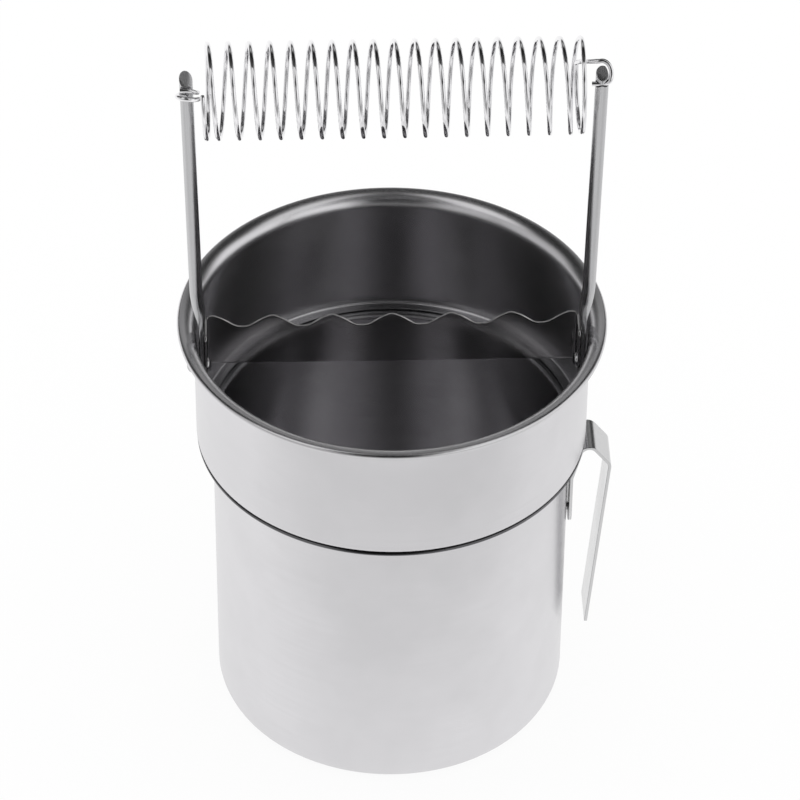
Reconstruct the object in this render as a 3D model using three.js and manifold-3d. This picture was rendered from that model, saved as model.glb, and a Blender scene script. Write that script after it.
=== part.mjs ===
// A stainless steel brush washer: a stepped round cup for rinsing water, a wave-edged strip that
// wet brushes rest on, two round posts, and a long open coil spring hooked between them that
// brushes hang from. A bent clip on the cup hangs it on an easel. Millimetres, +Z up, the origin
// is the centre of the underside. The posts stand a little in front of the strip (towards -Y).

import * as THREE from 'three';
import { mergeVertices } from 'three/addons/utils/BufferGeometryUtils.js';
import Module from 'manifold-3d';

// Driving dimensions. Heights and distances that belong together are given from each other.

const sheet = 0.5;            // wall of both drawn vessels
const fitGap = 0.3;           // clearance between pieces that are not pressed face to face

const rimRadius = 47.0;       // outside of the rolled rim
const beadRadius = 0.75;      // half the thickness of the rolled rim
const beadHeight = 103.4;     // middle of the rolled rim
const flareReach = 3.6;       // from the wide wall out to the edge of the rim
const collarRadius = rimRadius - flareReach;
const collarCorner = 1.15;    // outside radius of the wide wall's lower edge

const seamHeight = 73.2;      // where the collar sits on the cup
const stepIn = 3.6;           // from the wide wall in to the lower cup's
const cupRadius = collarRadius - stepIn;
const cupCorner = 4.9;        // outside radius of the cup's bottom edge
const cupMouth = 1.0;         // radius that turns its wall out into the flange
const lipRadius = 0.38;       // half the thickness of the flange's curled edge
const flangeInset = 0.1;      // from the wide wall in to the edge of the flange
const flangeRadius = collarRadius - flangeInset;
const ledgeGap = 0.8;         // from the cup's wall out to the inner edge of the ledge
const ledgeRadius = cupRadius + ledgeGap;

const rivetDrop = 9.9;        // from the rim down to the rivets of the posts
const rivetHeight = beadHeight - rivetDrop;
const rivetShank = 1.0;
const rivetHeadRadius = 1.7;
const rivetHeadRise = 0.75;
const rivetOuterRise = 1.35;

const stripThickness = 0.45;
const stripPlane = 0.8;       // the strip stands just behind the centre line
const stripDrop = 2.5;        // from the rivets down to the strip's lower edge
const stripBottom = rivetHeight - stripDrop;
const waveRise = 9.25;        // from the rivets up to the middle of the waves
const waveMiddle = rivetHeight + waveRise;
const waveSwing = 1.5;        // half the height of the waves
const waveCount = 6.223;      // waves between the two tabs
const tabReach = 7.3;         // from the strip's plane to the front edge of a folded tab
const tabBend = 0.8;          // radius of the fold, in the middle of the sheet
const tabRound = 1.2;         // rounded front corners of a tab

const postY = -3.0;
const postRadius = 1.4;
const topInset = 0.1;         // from the wide wall in to a post's axis, at the hooks
const postTopX = collarRadius - topInset;
const kneeInset = 0.85;       // and where the post bends in to the vessel
const postKneeX = collarRadius - kneeInset;
const kneeRise = 11.6;        // from the rim up to that bend
const postKneeHeight = beadHeight + kneeRise;
const tipBack = 171.65;       // each tip is cut on a slant that faces the user
const leftTipDrop = 2.75;     // from the back of a tip down to its front
const rightTipDrop = 2.05;
const leftTipTilt = 0.25;     // the left cut also falls towards the middle, per millimetre
const footThickness = 1.4;    // the post is pressed flat where it is riveted
const footWidth = 4.4;
const footDrop = 2.9;         // from the rivets down to the lowest point of a foot
const footBottom = rivetHeight - footDrop;
const footRise = 10.9;        // the flat part ends this far above them, just above the strip's tab
const footTop = rivetHeight + footRise;
const footSwell = 6;          // height over which the rod turns from round to flat

const wireRadius = 0.5;
const coilRadius = 9.9;       // middle of the wire
const coilDrop = 4.3;         // from the tips down to the middle of the coil
const coilHeight = tipBack - coilDrop;
const coilRise = 0.18;        // its right end lies this much higher than its middle
const coilInset = 4.35;       // from a post's axis in to where the end turns are closed up flat
const coilHalfLength = postTopX - coilInset;
const closedTurn = 9.037;     // the turn that lies there
const coilPitch = coilHalfLength / closedTurn;
const coilTopTurn = -0.1;     // fraction of a turn: the turn count is centred on this bearing
const leftStartTurn = -9.73;  // where the wire leaves the coil for each hook
const rightEndTurn = 9.845;
const endStretch = 9.45;      // turn at which both end stretches begin
const rightSpiral = 1.6;      // how far the last stretch draws in towards the hook
const rightLean = 0.45;       // and how far it leans in along the coil
const leftSplay = 0.8;        // how far the first stretch leans out towards its hook

// The hooks. A bearing counts turns round the post: 0.25 is the front, 0.5 the left, 0.75 the back,
// 1 the right and 1.25 the front again, where the last strand lies in a notch of the post. A hook
// starts at its first bearing. It bites into the post, its front stands higher than its back by
// twice its lean, and a straight tail ends it.
const leftNotchDrop = 3.05;   // from the back of a tip down to the strand in its notch
const rightNotchDrop = 3.25;
const leftHookShift = 0.2;    // from the post's axis to the hook's, towards the middle
const leftHook = {
  x: leftHookShift - postTopX, radius: 2.15, notch: tipBack - leftNotchDrop, bite: 0.35,
  lean: 1.2, climb: 1.8, first: 0.24, step: 1 / 16, tail: 1.5, grip: 0.35, coilGrip: 0.03,
};
const rightHook = {
  x: postTopX, radius: 1.9, notch: tipBack - rightNotchDrop, bite: 1.25,
  lean: -2.0, climb: 0, first: 0.72, step: 0.053, tail: 2.2, grip: 0.35, coilGrip: 0.06,
};

const clipThickness = 0.7;
const clipWidth = 9.9;
const clipRivetDrop = 25.0;   // from the seam down to the clip's rivet
const clipRivetHeight = seamHeight - clipRivetDrop;
const clipTongueDrop = 2.8;   // from the rivet down to the tongue's lowest point
const clipTongueBottom = clipRivetHeight - clipTongueDrop;
const clipBendDrop = 12.9;    // from the seam down to where the tongue bends out
const clipTongueTop = seamHeight - clipBendDrop;
const clipTongueBend = 2.2;
const clipCrestReach = 3.43;  // from the cup's wall out to the corner that the bridge rounds off
const clipCrestX = cupRadius + clipCrestReach;
const clipCrestDrop = 1.59;   // from the seam down to that corner
const clipCrestHeight = seamHeight - clipCrestDrop;
const clipCrestBend = 1.96;
const clipKneeReach = 9.145;
const clipKneeX = cupRadius + clipKneeReach;
const clipKneeDrop = 8.83;
const clipKneeHeight = seamHeight - clipKneeDrop;
const clipKneeBend = 2.2;
const clipEndReach = 5.3;
const clipEndX = cupRadius + clipEndReach;
const clipEndHeight = 16.9;
const clipRivetShank = 0.8;
const clipRivetHead = 1.4;
const clipRivetRise = 0.45;

// Facet counts.

const roundSteps = 64;
const rodSides = 16;
const rivetSides = 16;
const curlSteps = 8;
const wireSides = 5;

const wasm = await Module();
wasm.setup();

const steel = new THREE.MeshStandardMaterial({ color: 0xc9cacc, roughness: 0.28, metalness: 1 });
const bright = new THREE.MeshStandardMaterial({ color: 0xd4d5d8, roughness: 0.12, metalness: 1 });
const rodSteel = new THREE.MeshStandardMaterial({ color: 0xb4b5b8, roughness: 0.32, metalness: 1 });

// Closed geometry to a solid, without the sliver triangles that a lathe leaves on its axis.
function solid(geometry) {
  const bare = geometry.clone();
  bare.deleteAttribute('normal');
  bare.deleteAttribute('uv');
  const merged = mergeVertices(bare, 1e-4);
  const index = merged.index.array;
  const kept = [];
  for (let i = 0; i < index.length; i += 3) {
    const [a, b, c] = [index[i], index[i + 1], index[i + 2]];
    const sound = a !== b && b !== c && c !== a;
    if (sound) kept.push(a, b, c);
  }
  const vertProperties = new Float32Array(merged.attributes.position.array);
  const triVerts = new Uint32Array(kept);
  return new wasm.Manifold(new wasm.Mesh({ numProp: 3, vertProperties, triVerts }));
}

function named(name, body, material) {
  const { vertProperties, triVerts } = body.getMesh();
  const geometry = new THREE.BufferGeometry();
  geometry.setAttribute('position', new THREE.BufferAttribute(new Float32Array(vertProperties), 3));
  geometry.setIndex(new THREE.BufferAttribute(new Uint32Array(triVerts), 1));
  geometry.computeVertexNormals();
  const mesh = new THREE.Mesh(geometry, material.clone());
  mesh.name = name;
  return mesh;
}

// The line through the corners, with each inner corner rounded, moved sideways by an offset that
// is positive to the left. The radii are those of the middle line, so sheet keeps its thickness.
function bentLine(corners, radii, offset, steps = 5) {
  const points = [];
  const last = corners.length - 1;
  const heading = (i) => new THREE.Vector2().subVectors(corners[i + 1], corners[i]).normalize();
  const left = (d) => new THREE.Vector2(-d.y, d.x);
  points.push(corners[0].clone().addScaledVector(left(heading(0)), offset));
  for (let i = 1; i < last; i++) {
    const before = heading(i - 1);
    const after = heading(i);
    const turn = Math.atan2(before.cross(after), before.dot(after));
    const radius = radii[i - 1];
    const setback = radius * Math.tan(Math.abs(turn) / 2);
    const start = corners[i].clone().addScaledVector(before, -setback);
    const side = Math.sign(turn);
    const centre = start.clone().addScaledVector(left(before), side * radius);
    const arm = left(before).multiplyScalar(-side * radius + offset);
    for (let k = 0; k <= steps; k++) {
      const spoke = arm.clone().rotateAround(new THREE.Vector2(), turn * k / steps);
      points.push(centre.clone().add(spoke));
    }
  }
  points.push(corners[last].clone().addScaledVector(left(heading(last - 1)), offset));
  return points;
}

// Half circle that rounds the cut edge of sheet, from one face to the other.
function roundedEdge(from, to, steps = 4) {
  const centre = from.clone().add(to).multiplyScalar(0.5);
  const points = [];
  for (let k = 1; k < steps; k++) {
    points.push(from.clone().rotateAround(centre, Math.PI * k / steps));
  }
  return points;
}

// A profile in radius and height, turned about the Z axis.
function turned(profile, segments) {
  const geometry = new THREE.LatheGeometry([...profile, profile[0]], segments);
  return solid(geometry.rotateX(Math.PI / 2));
}

const corner = (x, y) => new THREE.Vector2(x, y);
const half = sheet / 2;

// The round edge that sheet is rolled into, from the last point of its outside to the top.
function rolledEdge(centre, radius, from, steps) {
  const start = Math.atan2(from.y - centre.y, from.x - centre.x) - 2 * Math.PI;
  const points = [];
  for (let k = 0; k < steps; k++) {
    const angle = THREE.MathUtils.lerp(start, Math.PI / 2, (k + 0.5) / steps);
    points.push(corner(radius * Math.cos(angle), radius * Math.sin(angle)).add(centre));
  }
  return points;
}

// The lower cup: flat bottom, rounded edge, straight wall, and a curled flange under the collar.
function cupBody() {
  const wall = cupRadius - half;
  const corners = [
    corner(0, half), corner(wall, half),
    corner(wall, seamHeight - half), corner(flangeRadius - lipRadius, seamHeight - half),
  ];
  const radii = [cupCorner - half, cupMouth + half];
  const lip = corner(flangeRadius - lipRadius, seamHeight - lipRadius);
  const outside = bentLine(corners, radii, -half).filter((p) => p.distanceTo(lip) > lipRadius);
  const inside = bentLine(corners, radii, half);
  inside.pop();
  const curl = rolledEdge(lip, lipRadius, outside.at(-1), 8);
  return turned([...outside, ...curl, ...inside.reverse()], roundSteps);
}

// The collar: ledge, rounded lower edge, straight wall, flare and rolled rim.
function collarBody() {
  const wall = collarRadius - half;
  const beadCentre = corner(rimRadius - beadRadius, beadHeight);
  const rimTop = beadHeight + beadRadius - half;
  const flare = beadCentre.x - wall;
  const corners = [
    corner(ledgeRadius + half, seamHeight + half), corner(wall, seamHeight + half),
    corner(wall, rimTop), corner(beadCentre.x, rimTop),
  ];
  const radii = [collarCorner - half, flare];
  const outside = bentLine(corners, radii, -half, 6);
  const inside = bentLine(corners, radii, half, 6);
  const clearOfBead = outside.filter((p) => p.distanceTo(beadCentre) > beadRadius);
  const bead = rolledEdge(beadCentre, beadRadius, clearOfBead.at(-1), 10);
  const ledgeEdge = roundedEdge(inside[0], outside[0]);
  return turned([...clearOfBead, ...bead, ...inside.reverse(), ...ledgeEdge], roundSteps);
}

// A round bar along X through both halves of a riveted joint.
function barAlongX(radius, from, to, y, z) {
  const bar = new THREE.CylinderGeometry(radius, radius, to - from, rivetSides).rotateZ(Math.PI / 2);
  return solid(bar.translate((from + to) / 2, y, z));
}

// A rivet along X with a domed head at each end.
function rivet(shank, head, innerFace, innerRise, outerFace, outerRise, y, z) {
  const dome = (rise, face, sense, from, to) => {
    const points = [];
    const steps = 4;
    for (let k = 0; k <= steps; k++) {
      const angle = Math.PI / 2 * (from + (to - from) * k / steps);
      points.push(corner(head * Math.cos(angle), face + sense * rise * Math.sin(angle)));
    }
    return points;
  };
  const inner = dome(innerRise, innerFace, -1, 1, 0);
  const outer = dome(outerRise, outerFace, 1, 0, 1);
  const profile = [...inner, corner(shank, innerFace), corner(shank, outerFace), ...outer];
  profile[0].x = 0;
  profile.at(-1).x = 0;
  const geometry = new THREE.LatheGeometry(profile, rivetSides).rotateZ(-Math.PI / 2);
  return solid(geometry.translate(0, y, z));
}

// Places along the riveted joint of a post, counted outwards from the centre.
const wallAtFoot = Math.sqrt((collarRadius - sheet) ** 2 - (Math.abs(postY) + footWidth / 2) ** 2);
const footOuter = wallAtFoot - fitGap;
const footX = footOuter - footThickness / 2;
const tabOuter = footOuter - footThickness;
const tabX = tabOuter - stripThickness / 2;
const wavePitch = 2 * tabX / waveCount;
const headPlane = Math.sqrt(collarRadius ** 2 - (Math.abs(postY) - rivetHeadRadius) ** 2) + fitGap;

// A plan outline or a side outline, pushed through the third direction.
function pushed(points, depth) {
  return new THREE.ExtrudeGeometry(new THREE.Shape(points), { depth, bevelEnabled: false });
}

// The strip: bent in plan into a long U, then trimmed to the waves and to the rounded tabs.
function stripBody() {
  const front = stripPlane - tabReach;
  const plan = [
    corner(-tabX, front), corner(-tabX, stripPlane), corner(tabX, stripPlane), corner(tabX, front),
  ];
  const radii = [tabBend, tabBend];
  const outer = bentLine(plan, radii, stripThickness / 2);
  const inner = bentLine(plan, radii, -stripThickness / 2);
  const height = waveMiddle + waveSwing - stripBottom;
  const blank = solid(pushed([...outer, ...inner.reverse()], height).translate(0, 0, stripBottom));

  const waves = [];
  const steps = 8;
  const reach = Math.ceil(steps * (tabOuter + 1) / wavePitch);
  for (let k = -reach; k <= reach; k++) {
    const x = k * wavePitch / steps;
    waves.push(corner(x, waveMiddle + waveSwing * Math.cos(2 * Math.PI * x / wavePitch)));
  }
  const side = reach * wavePitch / steps;
  const low = stripBottom - 1;
  const depth = 2 * tabReach;
  const elevation = pushed([corner(-side, low), corner(side, low), ...waves.reverse()], 2 * depth);
  const waveCut = solid(elevation.rotateX(Math.PI / 2).translate(0, depth, 0));

  const tabTop = waveMiddle + waveSwing * Math.cos(2 * Math.PI * tabX / wavePitch);
  const profile = [
    corner(tabReach, tabTop), corner(front, tabTop),
    corner(front, stripBottom), corner(tabReach, stripBottom),
  ];
  const tabSide = pushed(bentLine(profile, [tabRound, tabRound], 0), 2 * side);
  const tabCut = solid(tabSide.rotateX(Math.PI / 2).rotateZ(Math.PI / 2).translate(-side, 0, 0));
  const body = stripPlane - tabBend - stripThickness;
  const backBox = new THREE.BoxGeometry(2 * side, 2 * tabReach, 4 * height);
  const back = solid(backBox.translate(0, body + tabReach, stripBottom));
  const hole = barAlongX(rivetShank + fitGap, -side, side, postY, rivetHeight);
  return blank.intersect(waveCut).intersect(tabCut.add(back)).subtract(hole);
}

// A tube or a changing bar through given stations. Each ring is laid square to the route, in a
// frame that is carried along without twist, and section() gives its two half widths.
function swept(stations, sides, section, firstNormal) {
  const count = stations.length;
  const positions = [];
  const index = [];
  const normal = firstNormal.clone();
  for (let i = 0; i < count; i++) {
    const ahead = stations[Math.min(i + 1, count - 1)];
    const behind = stations[Math.max(i - 1, 0)];
    const along = new THREE.Vector3().subVectors(ahead, behind).normalize();
    normal.addScaledVector(along, -normal.dot(along)).normalize();
    const across = new THREE.Vector3().crossVectors(along, normal);
    const [a, b] = section(stations[i]);
    for (let k = 0; k < sides; k++) {
      const angle = 2 * Math.PI * k / sides;
      const point = stations[i].clone();
      point.addScaledVector(normal, a * Math.cos(angle));
      point.addScaledVector(across, b * Math.sin(angle));
      positions.push(point.x, point.y, point.z);
    }
  }
  const ring = (i, k) => i * sides + k % sides;
  for (let i = 0; i < count - 1; i++) {
    for (let k = 0; k < sides; k++) {
      index.push(ring(i, k), ring(i, k + 1), ring(i + 1, k + 1));
      index.push(ring(i, k), ring(i + 1, k + 1), ring(i + 1, k));
    }
  }
  for (let k = 1; k < sides - 1; k++) {
    index.push(ring(0, 0), ring(0, k + 1), ring(0, k));
    index.push(ring(count - 1, 0), ring(count - 1, k), ring(count - 1, k + 1));
  }
  const geometry = new THREE.BufferGeometry();
  geometry.setAttribute('position', new THREE.Float32BufferAttribute(positions, 3));
  geometry.setIndex(index);
  return solid(geometry);
}

// The spring's wire.

const wave = (t) => t * t * (3 - 2 * t);
const clamp = THREE.MathUtils.clamp;

// One point of a hook, by its bearing.
function hookPoint(hook, bearing) {
  const angle = 2 * Math.PI * bearing;
  const inNotch = wave(clamp((bearing - 1) / 0.25, 0, 1));
  const seat = postRadius + wireRadius - hook.bite;
  const reach = THREE.MathUtils.lerp(hook.radius, seat, inNotch);
  const x = hook.x + hook.radius * Math.cos(angle);
  const y = postY - reach * Math.sin(angle);
  const z = hook.notch + hook.lean * (Math.sin(angle) - 1) + hook.climb * (bearing - 1.25);
  return new THREE.Vector3(x, y, z);
}

// One point of the coil, by its turn. Turn 0 is the middle, and turns run from the top forwards.
function coilPoint(turn) {
  const angle = 2 * Math.PI * (turn + coilTopTurn);
  const atRight = clamp((turn - endStretch) / (rightEndTurn - endStretch), 0, 1);
  const atLeft = clamp((turn + endStretch) / (leftStartTurn + endStretch), 0, 1);
  const radius = coilRadius - rightSpiral * atRight;
  const straight = clamp(coilPitch * turn, -coilHalfLength, coilHalfLength);
  const x = straight - leftSplay * atLeft - rightLean * atRight;
  const z = coilHeight + coilRise * x / coilHalfLength + radius * Math.cos(angle);
  return new THREE.Vector3(x, postY - radius * Math.sin(angle), z);
}

// A smooth stretch of wire between two others, leaving each in its own direction. The grips say
// how far it keeps that direction, as shares of its length.
function linkPoints(from, fromHeading, fromGrip, to, toHeading, toGrip) {
  const span = from.distanceTo(to);
  const a = from.clone().addScaledVector(fromHeading, fromGrip * span);
  const b = to.clone().addScaledVector(toHeading, -toGrip * span);
  return new THREE.CubicBezierCurve3(from, a, b, to).getPoints(9).slice(1, -1);
}

// A hook from the coil's side round to its cut end.
function hookPoints(hook) {
  const points = [];
  const count = Math.round((1.25 - hook.first) / hook.step);
  for (let k = 0; k <= count; k++) {
    points.push(hookPoint(hook, hook.first + (1.25 - hook.first) * k / count));
  }
  points.push(hookPoint(hook, 1.25).add(new THREE.Vector3(-hook.tail, 0, 0)));
  return points;
}

function wireRoute() {
  const left = hookPoints(leftHook).reverse();
  const right = hookPoints(rightHook);
  const heading = (a, b) => b.clone().sub(a).normalize();
  const coil = [];
  const turns = Math.round(curlSteps * (rightEndTurn - leftStartTurn));
  for (let k = 0; k <= turns; k++) {
    coil.push(coilPoint(leftStartTurn + k * (rightEndTurn - leftStartTurn) / turns));
  }
  const intoCoil = heading(coilPoint(leftStartTurn), coilPoint(leftStartTurn + 0.01));
  const outOfCoil = heading(coilPoint(rightEndTurn - 0.01), coilPoint(rightEndTurn));
  const leftAway = heading(left.at(-2), left.at(-1));
  const intoHook = heading(right[0], right[1]);
  const first = linkPoints(
    left.at(-1), leftAway, leftHook.grip, coil[0], intoCoil, leftHook.coilGrip,
  );
  const last = linkPoints(
    coil.at(-1), outOfCoil, rightHook.coilGrip, right[0], intoHook, rightHook.grip,
  );
  return [...left, ...first, ...coil, ...last, ...right];
}

const route = wireRoute();

// The least air between two stretches of the wire that are not next to each other, on points.
function leastGap(points) {
  const fine = new THREE.CatmullRomCurve3(points).getPoints(points.length * 4);
  const along = [0];
  for (let i = 1; i < fine.length; i++) {
    along.push(along[i - 1] + fine[i].distanceTo(fine[i - 1]));
  }
  let least = Infinity;
  for (let i = 0; i < fine.length; i++) {
    for (let j = i + 1; j < fine.length; j++) {
      const neighbours = along[j] - along[i] < 6 * wireRadius;
      if (!neighbours) least = Math.min(least, fine[i].distanceTo(fine[j]));
    }
  }
  return least - 2 * wireRadius;
}

console.log(`spring wire: least gap to itself ${leastGap(route).toFixed(2)} mm`);

function springBody() {
  const upwards = new THREE.Vector3(0, 0, 1);
  return swept(route, wireSides, () => [wireRadius, wireRadius], upwards);
}

// The space that the wire needs round a post, as a fatter wire: it cuts the notches.
function hookSeat(hook) {
  const near = hookPoints(hook);
  const upwards = new THREE.Vector3(0, 0, 1);
  return swept(near, 8, () => [wireRadius + fitGap, wireRadius + fitGap], upwards);
}

// The space above a post's slanted tip. The tilt makes the cut fall towards the middle as well.
function aboveTip(side, tipFront, tilt) {
  const slant = (tipBack - tipFront) / (2 * postRadius);
  const reach = 3 * postRadius;
  const low = slant * (reach + postRadius);
  const outline = [
    corner(-reach, tipFront - slant * (reach - postRadius)), corner(reach, tipFront + low),
    corner(reach, tipFront + low + reach), corner(-reach, tipFront + low + reach),
  ];
  const wedge = pushed(outline, 2 * reach).rotateX(Math.PI / 2).rotateZ(Math.PI / 2);
  wedge.translate(-reach, 0, -tipFront).rotateY(Math.atan(-side * tilt));
  return solid(wedge.translate(side * postTopX, postY, tipFront));
}

// A post: a round rod that leans out a little, bends in below its knee and ends in a flat foot.
function postBody(side, hook, tipDrop, tilt) {
  const topReach = tipBack + postRadius;
  const lean = (postTopX - postKneeX) / (hook.notch - postKneeHeight);
  const stations = [];
  const add = (x, z) => stations.push(new THREE.Vector3(side * x, postY, z));
  const stepsDown = 8;
  const swellTop = footTop + footSwell;
  add(footX, footTop - footWidth / 2);
  for (let k = 0; k <= stepsDown; k++) {
    const t = k / stepsDown;
    const z = THREE.MathUtils.lerp(footTop, postKneeHeight, t);
    add(THREE.MathUtils.lerp(footX, postKneeX, wave(t)), z);
  }
  add(postKneeX + lean * (topReach - postKneeHeight), topReach);
  const sunk = 0.05; // the rod's end lies this far inside the foot's plate
  const section = (p) => {
    const flat = wave(clamp((swellTop - p.z) / footSwell, 0, 1));
    const thin = THREE.MathUtils.lerp(postRadius, footThickness / 2 - sunk, flat);
    const wide = THREE.MathUtils.lerp(postRadius, footWidth / 2 - 2 * sunk, flat);
    return [thin, wide];
  };
  const rod = swept(stations, rodSides, section, new THREE.Vector3(1, 0, 0));

  const halfWidth = footWidth / 2;
  const outline = new THREE.Shape();
  outline.absarc(postY, footBottom + halfWidth, halfWidth, Math.PI, 2 * Math.PI);
  outline.lineTo(postY + halfWidth, footTop - halfWidth);
  outline.absarc(postY, footTop - halfWidth, halfWidth, 0, Math.PI);
  const settings = { depth: footThickness, bevelEnabled: false, curveSegments: 8 };
  const plate = new THREE.ExtrudeGeometry(outline, settings);
  plate.rotateX(Math.PI / 2).rotateZ(Math.PI / 2);
  const foot = solid(plate.translate(side * footX - footThickness / 2, 0, 0));
  const middle = side * footX;
  const hole = barAlongX(
    rivetShank + fitGap, middle - footThickness, middle + footThickness, postY, rivetHeight,
  );
  const whole = rod.subtract(aboveTip(side, tipBack - tipDrop, tilt)).add(foot);
  return whole.subtract(hole).subtract(hookSeat(hook));
}

// The clip: a tongue on the cup's wall, a bridge over it, and a long leg that springs towards it.
const clipFace = cupRadius + fitGap;

function clipBody() {
  const tongue = clipFace + clipThickness / 2;
  const corners = [
    corner(tongue, clipTongueBottom), corner(tongue, clipTongueTop),
    corner(clipCrestX, clipCrestHeight), corner(clipKneeX, clipKneeHeight),
    corner(clipEndX, clipEndHeight),
  ];
  const radii = [clipTongueBend, clipCrestBend, clipKneeBend];
  const outer = bentLine(corners, radii, clipThickness / 2, 6);
  const inner = bentLine(corners, radii, -clipThickness / 2, 6);
  const bar = pushed([...inner, ...outer.reverse()], clipWidth).rotateX(Math.PI / 2);
  const body = solid(bar.translate(0, clipWidth / 2, 0));
  const shankSpace = clipRivetShank + fitGap;
  const drill = barAlongX(
    shankSpace, clipFace - clipThickness, clipFace + 2 * clipThickness, 0, clipRivetHeight,
  );

  const round = clipWidth / 2;
  const above = clipCrestHeight + clipWidth;
  const outline = new THREE.Shape();
  outline.absarc(0, clipTongueBottom + round, round, Math.PI, 2 * Math.PI);
  outline.lineTo(round, above);
  outline.lineTo(-round, above);
  const settings = { depth: 2 * clipThickness, bevelEnabled: false, curveSegments: 10 };
  const cookie = new THREE.ExtrudeGeometry(outline, settings);
  cookie.rotateX(Math.PI / 2).rotateZ(Math.PI / 2);
  const tongueShape = solid(cookie.translate(clipFace - clipThickness / 2, 0, 0));
  const bridgeStart = clipFace + 1.4 * clipThickness;
  const room = clipKneeX + clipWidth - bridgeStart;
  const legBox = new THREE.BoxGeometry(room, 2 * clipWidth, 2 * above);
  const legSpace = solid(legBox.translate(bridgeStart + room / 2, 0, above));
  return body.intersect(tongueShape.add(legSpace)).subtract(drill);
}

const wallReach = 8 * sheet; // holes through a round wall are drilled this far to either side
const clipWallHole = barAlongX(
  clipRivetShank + fitGap, cupRadius - wallReach, cupRadius + wallReach, 0, clipRivetHeight,
);
const cup = cupBody().subtract(clipWallHole);
const rivetHoles = [-1, 1].map((side) => {
  const middle = side * collarRadius;
  return barAlongX(
    rivetShank + fitGap, middle - wallReach, middle + wallReach, postY, rivetHeight,
  );
});
const collar = collarBody().subtract(rivetHoles[0]).subtract(rivetHoles[1]);

function postRivet(side) {
  const body = rivet(
    rivetShank, rivetHeadRadius, tabX - stripThickness / 2, rivetHeadRise,
    headPlane, rivetOuterRise, side * postY, rivetHeight,
  );
  return side > 0 ? body : body.rotate([0, 0, 180]);
}

const cupInner = Math.sqrt((cupRadius - sheet) ** 2 - clipRivetHead ** 2) - fitGap;
const clipRivet = rivet(
  clipRivetShank, clipRivetHead, cupInner, clipRivetRise,
  clipFace + clipThickness, clipRivetRise, 0, clipRivetHeight,
);

const washer = new THREE.Group();
washer.add(
  named('cup', cup, steel),
  named('collar', collar, steel),
  named('wave_strip', stripBody(), bright),
  named('post_left', postBody(-1, leftHook, leftTipDrop, leftTipTilt), rodSteel),
  named('post_right', postBody(1, rightHook, rightTipDrop, 0), rodSteel),
  named('post_rivet_left', postRivet(-1), bright),
  named('post_rivet_right', postRivet(1), bright),
  named('brush_spring', springBody(), bright),
  named('clip_hook', clipBody(), steel),
  named('clip_rivet', clipRivet, bright),
);

export default washer;
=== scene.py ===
"""Brush washer of stainless steel: the looks, built round the packed CAD frame.

Every piece is a surface worked out with numpy from the sizes in the panel, in metres, +Z up, with
the user towards -Y. It lies over its CAD node and replaces it. Round pieces are a profile turned
about an axis. The strip, the clip, the posts and the spring are a section carried along a path.
"""

import math

import bmesh
import bpy
import numpy as np
from bpy.props import FloatProperty, FloatVectorProperty, IntProperty, PointerProperty
from mathutils import Matrix


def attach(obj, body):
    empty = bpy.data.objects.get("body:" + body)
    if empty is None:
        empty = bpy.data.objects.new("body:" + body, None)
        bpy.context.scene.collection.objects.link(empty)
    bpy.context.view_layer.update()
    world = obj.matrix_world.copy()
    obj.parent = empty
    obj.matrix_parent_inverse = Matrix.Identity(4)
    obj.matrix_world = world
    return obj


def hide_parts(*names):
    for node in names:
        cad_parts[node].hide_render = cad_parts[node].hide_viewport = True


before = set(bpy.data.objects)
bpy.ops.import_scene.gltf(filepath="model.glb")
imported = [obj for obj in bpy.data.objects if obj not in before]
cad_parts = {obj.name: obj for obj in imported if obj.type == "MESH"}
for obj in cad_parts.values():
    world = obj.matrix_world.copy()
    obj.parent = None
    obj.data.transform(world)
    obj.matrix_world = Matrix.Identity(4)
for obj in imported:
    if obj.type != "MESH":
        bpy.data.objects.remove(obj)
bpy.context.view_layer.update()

bl_info = {
    "name": "Brush Washer",
    "version": (1, 0, 0),
    "blender": (4, 5, 0),
    "location": "View3D > Sidebar > Washer",
    "description": "Builds a stainless steel brush washer with a coil spring for hanging brushes",
    "category": "Add Mesh",
}

TURN = 2 * math.pi
# How much wider a hole is in radius than what goes through it.
CLEARANCE = 0.0003
# The steepest bend between two faces that is still shaded as smooth.
CREASE = math.radians(35)
# How far a sheet stays clear of the bead that it is rolled into, in radii of the bead.
BEAD_MARGIN = 1.02
# Where the wire is at the top in each turn of the spring.
TOP_OF_TURN = 0.1


# Sizes and colours.

def length(name, description, default):
    """A size in metres for the panel."""
    return FloatProperty(
        name=name, description=description, default=default, unit="LENGTH", precision=5)


def count(name, description, default, low, high):
    """A whole number for the panel."""
    return IntProperty(name=name, description=description, default=default, min=low, max=high)


def share(name, description, default):
    """A plain number for the panel."""
    return FloatProperty(name=name, description=description, default=default, precision=4)


def colour(name, description, default):
    """A linear colour for the panel."""
    return FloatVectorProperty(
        name=name, description=description, default=default, size=3, min=0, max=1, subtype="COLOR")


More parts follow.
